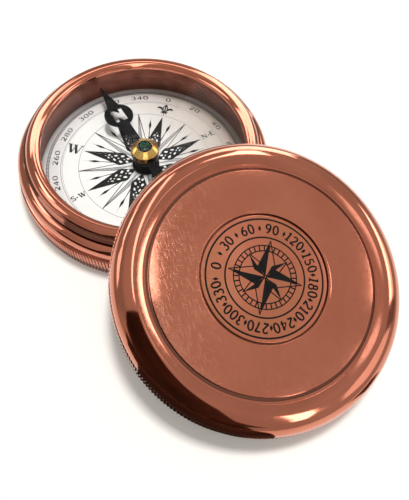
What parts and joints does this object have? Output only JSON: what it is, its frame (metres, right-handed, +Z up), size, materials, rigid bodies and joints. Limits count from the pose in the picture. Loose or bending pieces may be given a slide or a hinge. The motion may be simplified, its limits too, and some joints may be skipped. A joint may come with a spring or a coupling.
{
  "type": "pocket compass",
  "caption": "Round copper-coloured pocket compass with a glazed dial and pivoting needle, its threaded lid off and leaning on the rim.",
  "frame": {"origin": "middle of the case's flat underside", "axes": "+Z up along the case's own axis and the needle's axis, -Y towards the lid's side of the case, +X to the right seen from there"},
  "size_m": [0.1011, 0.122, 0.0287],
  "materials": {
    "copper_case": "polished, copper coloured",
    "copper_lid": "fine brushed, copper coloured",
    "dark_copper": "glossy dark copper",
    "etched_copper": "etched and filled with black",
    "yellow_brass": "turned and polished",
    "bright_steel": "polished",
    "black_metal": "blackened, satin",
    "dial_metal": "plain",
    "printed_card": "matt, printed",
    "clear_glass": "clear, polished",
    "dark_gasket": "matt",
    "hard_jewel": "polished",
    "green_stone": "polished dome"
  },
  "bodies": {
    "case": {"case_bowl": "copper_case", "bezel_ring": "copper_case", "crystal": "clear_glass", "crystal_gasket": "dark_gasket", "glass_seat": "dark_copper", "dial_plate": "dial_metal", "dial_card": "printed_card", "pivot_post": "black_metal", "pivot_pin": "bright_steel"},
    "needle": {"needle_bar": "black_metal", "needle_collar": "black_metal", "needle_cap": "yellow_brass", "needle_cup": "hard_jewel", "cap_stone": "green_stone"},
    "lid": {"lid_shell": "copper_lid", "lid_badge": "etched_copper"}
  },
  "joints": [
    {"name": "needle_spin", "type": "hinge", "parent": "case", "child": "needle", "pos_m": [0, 0, 0.01], "axis": [0, 0, 1], "continuous": true},
    {"name": "lid_lift", "type": "slide", "parent": "case", "child": "lid", "axis": [0, 0, 1], "range_m": [0, 0.03]}
  ]
}
